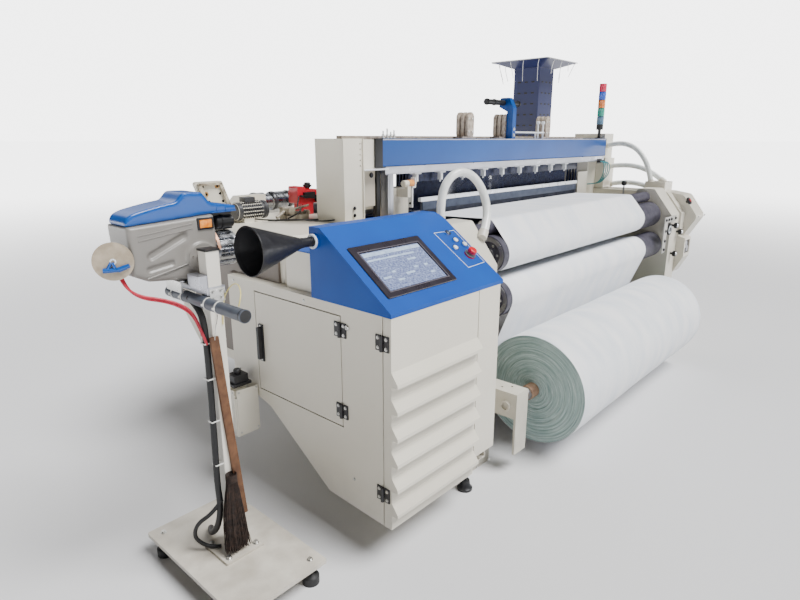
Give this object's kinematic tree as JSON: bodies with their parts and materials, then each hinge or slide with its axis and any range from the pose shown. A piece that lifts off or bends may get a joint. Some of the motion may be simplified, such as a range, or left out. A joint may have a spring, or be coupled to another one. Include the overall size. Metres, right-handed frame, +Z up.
{
  "type": "air jet loom",
  "caption": "Wide air jet weaving machine with control cabinet, sloped console, rollers, cloth roll, warp beam, heald frames and a weft feeder on its own stand.",
  "frame": {"origin": "centre of the four floor bolts, on the floor", "axes": "+X along the width, to the right seen from the front; +Z up; the cloth leaves at -Y"},
  "size_m": [4.5319, 2.3318, 2.205],
  "materials": {
    "cream_paint": "smooth semi-gloss enamel on castings and sheet",
    "blue_paint": "gloss enamel",
    "indigo_paint": "gloss enamel",
    "red_paint": "gloss enamel",
    "turned_steel": "turned and lightly oiled",
    "aluminium": "anodised extrusion",
    "roller_rubber": "dark rubber grip covering",
    "black_plastic": "moulded, fine grain",
    "screen_panel": "glossy panel in a dark bezel",
    "controls": "gloss caps",
    "white_cloth": "plain weave",
    "wound_cloth": "plain weave wound in layers",
    "warp_yarn": "fine parallel threads",
    "heald_steel": "dark steel wires between rails",
    "reed_white": "pale anodised",
    "wood": "varnished",
    "lamp_plastic": "tinted lenses",
    "grey_pvc": "extruded tube",
    "clear_hose": "translucent hose",
    "feeder_grey": "painted casting",
    "brush_brown": "wooden stick and dark bristles",
    "beige_plastic": "moulded disc"
  },
  "bodies": {
    "root": {"air_hose_low": "clear_hose", "air_hose_middle": "clear_hose", "air_hose_top": "clear_hose", "arch_hose": "clear_hose", "beam_caps": "black_plastic", "beam_rail": "aluminium", "cabinet_left_wall": "cream_paint", "cabinet_shell": "cream_paint", "cleaning_brush": "brush_brown", "cloth": "white_cloth", "console_buttons": "controls", "control_console": "blue_paint", "cross_beams": "cream_paint", "drive_housing": "cream_paint", "eyelet_disc": "beige_plastic", "feeder_body": "feeder_grey", "feeder_clamp": "aluminium", "feeder_cover": "blue_paint", "feeder_drum": "turned_steel", "feeder_stopper": "black_plastic", "fixed_hinges": "black_plastic", "frame_guides": "wood", "front_knobs": "black_plastic", "funnel": "black_plastic", "guide_rollers": "turned_steel", "junction_box": "cream_paint", "left_post": "cream_paint", "left_roll_arm": "cream_paint", "left_side_frame": "cream_paint", "let_off_head": "red_paint", "light_tower": "lamp_plastic", "lower_heald_frames": "heald_steel", "pvc_tube": "grey_pvc", "reed_cap": "reed_white", "relay_box": "cream_paint", "right_cover": "cream_paint", "right_post": "cream_paint", "right_roll_arm": "cream_paint", "right_side_frame": "cream_paint", "selvedge_creel": "indigo_paint", "sley": "turned_steel", "stand_feet": "black_plastic", "stand_post": "cream_paint", "top_beam": "blue_paint", "touch_screen": "screen_panel", "upper_heald_frames": "heald_steel", "warp_beam": "turned_steel", "warp_sheet": "warp_yarn", "wound_warp": "warp_yarn", "yarn_bracket": "blue_paint", "yarn_rod": "black_plastic"},
    "louvred_door": {"louvred_door": "cream_paint", "louvred_door_hinges": "black_plastic"},
    "side_door": {"side_door": "cream_paint", "side_door_fittings": "black_plastic"},
    "breast_roller": {"breast_roller": "roller_rubber"},
    "take_up_roller": {"take_up_roller": "roller_rubber"},
    "press_roller": {"press_roller": "roller_rubber"},
    "cloth_roll": {"cloth_roll": "wound_cloth", "roll_core": "turned_steel"}
  },
  "joints": [
    {"name": "louvred_door_hinge", "type": "hinge", "parent": "root", "child": "louvred_door", "pos_m": [-2.122, -0.7615, 0.6], "axis": [0, 0, -1], "range_deg": [0, 110]},
    {"name": "side_door_hinge", "type": "hinge", "parent": "root", "child": "side_door", "pos_m": [-2.122, -0.5425, 0.6], "axis": [0, 0, 1], "range_deg": [0, 50]},
    {"name": "breast_roller_spin", "type": "hinge", "parent": "root", "child": "breast_roller", "pos_m": [0, -0.43, 1.163], "axis": [1, 0, 0], "continuous": true},
    {"name": "take_up_roller_spin", "type": "hinge", "parent": "root", "child": "take_up_roller", "pos_m": [0, -0.47, 1.03], "axis": [1, 0, 0], "continuous": true},
    {"name": "press_roller_spin", "type": "hinge", "parent": "root", "child": "press_roller", "pos_m": [0, -0.5, 0.8], "axis": [1, 0, 0], "continuous": true},
    {"name": "cloth_roll_spin", "type": "hinge", "parent": "root", "child": "cloth_roll", "pos_m": [0, -0.742, 0.35], "axis": [1, 0, 0], "continuous": true}
  ]
}
